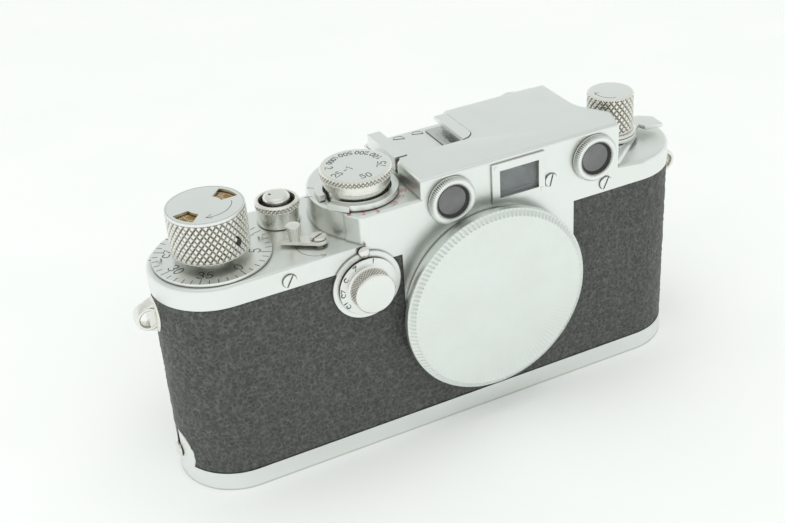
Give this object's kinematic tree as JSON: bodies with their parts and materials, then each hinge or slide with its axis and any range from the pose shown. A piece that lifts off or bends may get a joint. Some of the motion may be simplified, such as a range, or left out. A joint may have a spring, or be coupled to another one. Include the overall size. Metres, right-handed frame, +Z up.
{
  "type": "rangefinder camera",
  "caption": "Metal-bodied 35 mm screw-mount rangefinder camera with rounded ends, knurled knobs, top dials, shoe, removable base plate and plain body cap.",
  "frame": {"origin": "underside of the base plate, at mid length and mid depth of the body", "axes": "+X along the body towards the rewind knob, the lens side faces -Y, +Z up"},
  "size_m": [0.146, 0.0367, 0.0701],
  "materials": {
    "chrome": "satin chrome plate with fine wear",
    "bright_nickel": "slightly warm nickel plate, knurled or turned",
    "covering": "wrinkled hard rubber covering, dull",
    "black_cast": "die casting, blackened, dull",
    "brass": "machined brass",
    "steel": "turned steel",
    "cloth": "rubberised black cloth",
    "glass": "coated optical glass",
    "card": "printed disc, no lettering"
  },
  "bodies": {
    "camera": {"chassis": "black_cast", "gear_plate": "brass", "body_shell": "steel", "body_covering": "covering", "top_cover": "chrome", "lens_flange": "chrome", "small_screws": "chrome", "rf_bezel_left": "chrome", "rf_bezel_right": "chrome", "rf_windows": "glass", "viewfinder_frame": "chrome", "finder_lenses": "glass", "optics_bracket": "black_cast", "rf_prism": "glass", "eyepiece_plate": "chrome", "accessory_shoe": "chrome", "shoe_spring": "steel", "release_collar": "bright_nickel", "strap_lugs": "bright_nickel", "slow_dial_flange": "chrome", "slow_escapement": "brass", "flash_socket": "chrome", "pressure_plate": "black_cast", "pressure_springs": "steel", "hook_stud": "bright_nickel", "shutter_curtains": "cloth", "curtain_laths": "steel", "lever_screw": "bright_nickel"},
    "release": {"release_button": "bright_nickel", "release_spring": "steel"},
    "winder": {"wind_shaft": "steel", "wind_gear": "brass", "takeup_spool": "black_cast", "wind_knob": "bright_nickel", "knob_top_plate": "chrome", "knob_set_screw": "steel"},
    "reminder": {"reminder_disc": "card"},
    "counter": {"counter_dial": "chrome"},
    "sprocket": {"film_sprocket": "steel", "sprocket_gears": "brass"},
    "drum": {"shutter_drum": "black_cast", "drum_gear": "brass"},
    "roller_inner": {"curtain_roller_inner": "steel"},
    "roller_outer": {"curtain_roller_outer": "steel"},
    "dial_lifter": {"dial_sleeve": "bright_nickel"},
    "dial": {"speed_dial": "chrome"},
    "sync": {"sync_ring": "chrome"},
    "lever": {"rewind_lever": "bright_nickel"},
    "rewind_fork": {"rewind_shaft": "steel"},
    "rewind": {"rewind_knob": "bright_nickel"},
    "diopter": {"diopter_lever": "chrome"},
    "slow": {"slow_dial": "chrome"},
    "slow_lock": {"slow_lock_button": "bright_nickel"},
    "rangefinder_arm": {"rf_arm": "steel"},
    "base": {"base_plate": "chrome", "tripod_bush": "bright_nickel"},
    "key": {"base_key": "chrome"},
    "handle": {"key_handle": "bright_nickel"},
    "cap_ring": {"cap_thread_ring": "chrome"},
    "cap": {"body_cap": "chrome"}
  },
  "joints": [
    {"name": "wind_turn", "type": "hinge", "parent": "camera", "child": "winder", "pos_m": [-0.053, 0, 0], "axis": [0, 0, -1], "continuous": true},
    {"name": "reminder_turn", "type": "hinge", "parent": "winder", "child": "reminder", "pos_m": [-0.053, 0, 0], "axis": [0, 0, 1], "range_deg": [0, 300]},
    {"name": "counter_turn", "type": "hinge", "parent": "camera", "child": "counter", "pos_m": [-0.053, 0, 0], "axis": [0, 0, -1], "continuous": true},
    {"name": "sprocket_turn", "type": "hinge", "parent": "camera", "child": "sprocket", "pos_m": [-0.0365, 0, 0], "axis": [0, 0, -1], "continuous": true},
    {"name": "drum_turn", "type": "hinge", "parent": "camera", "child": "drum", "pos_m": [-0.01774, -0.003, 0], "axis": [0, 0, -1], "continuous": true},
    {"name": "roller_inner_turn", "type": "hinge", "parent": "camera", "child": "roller_inner", "pos_m": [0.0316, 0.0019, 0], "axis": [0, 0, -1], "continuous": true},
    {"name": "roller_outer_turn", "type": "hinge", "parent": "camera", "child": "roller_outer", "pos_m": [0.037, 0.0019, 0], "axis": [0, 0, -1], "continuous": true},
    {"name": "release_press", "type": "slide", "parent": "camera", "child": "release", "axis": [0, 0, -1], "range_m": [0, 0.002], "stiffness_N_per_m": 400, "springref_m": -0.002, "deforming": ["release_spring"]},
    {"name": "dial_lift", "type": "slide", "parent": "drum", "child": "dial_lifter", "axis": [0, 0, 1], "range_m": [0, 0.0015]},
    {"name": "dial_set", "type": "hinge", "parent": "dial_lifter", "child": "dial", "pos_m": [-0.01774, -0.003, 0], "axis": [0, 0, 1], "range_deg": [-150, 150]},
    {"name": "sync_turn", "type": "hinge", "parent": "camera", "child": "sync", "pos_m": [-0.01774, -0.003, 0], "axis": [0, 0, 1], "range_deg": [-20, 140]},
    {"name": "rewind_lever_turn", "type": "hinge", "parent": "camera", "child": "lever", "pos_m": [-0.0304, -0.0083, 0], "axis": [0, 0, 1], "range_deg": [0, 110]},
    {"name": "rewind_turn", "type": "hinge", "parent": "camera", "child": "rewind_fork", "pos_m": [0.0535, 0, 0], "axis": [0, 0, 1], "continuous": true},
    {"name": "rewind_lift", "type": "slide", "parent": "rewind_fork", "child": "rewind", "axis": [0, 0, 1], "range_m": [0, 0.006]},
    {"name": "diopter_turn", "type": "hinge", "parent": "camera", "child": "diopter", "pos_m": [0.0535, 0, 0], "axis": [0, 0, 1], "range_deg": [0, 30]},
    {"name": "slow_turn", "type": "hinge", "parent": "camera", "child": "slow", "pos_m": [-0.0224, -0.0145, 0.0461], "axis": [0, -1, 0], "range_deg": [0, 250]},
    {"name": "slow_lock_press", "type": "slide", "parent": "camera", "child": "slow_lock", "axis": [0, 1, 0], "range_m": [0, 0.0006], "stiffness_N_per_m": 200, "springref_m": -0.001},
    {"name": "rf_arm_swing", "type": "hinge", "parent": "camera", "child": "rangefinder_arm", "pos_m": [0.0002, -0.007, 0], "axis": [0, 0, 1], "range_deg": [0, 12]},
    {"name": "base_drop", "type": "slide", "parent": "camera", "child": "base", "axis": [0, 0, -1], "range_m": [0, 0.03]},
    {"name": "base_key_turn", "type": "hinge", "parent": "base", "child": "key", "pos_m": [0.0535, 0, 0], "axis": [0, 0, 1], "range_deg": [0, 180]},
    {"name": "key_handle_fold", "type": "hinge", "parent": "key", "child": "handle", "pos_m": [0.0535, 0.0002, 0.00045], "axis": [-1, 0, 0], "range_deg": [0, 90]},
    {"name": "cap_out", "type": "slide", "parent": "camera", "child": "cap_ring", "axis": [0, -1, 0], "range_m": [0, 0.00391]},
    {"name": "cap_turn", "type": "hinge", "parent": "cap_ring", "child": "cap", "pos_m": [0.0093, 0, 0.0332], "axis": [0, -1, 0], "range_deg": [0, 1440]}
  ],
  "couplings": [
    {"joint": "counter_turn", "follows": "wind_turn", "ratio": 0.025},
    {"joint": "sprocket_turn", "follows": "wind_turn", "ratio": -1},
    {"joint": "drum_turn", "follows": "wind_turn", "ratio": 1},
    {"joint": "roller_inner_turn", "follows": "wind_turn", "ratio": 2.8846},
    {"joint": "roller_outer_turn", "follows": "wind_turn", "ratio": 2.8846},
    {"joint": "cap_out", "follows": "cap_turn", "m_per_rad": 0.00015548}
  ]
}
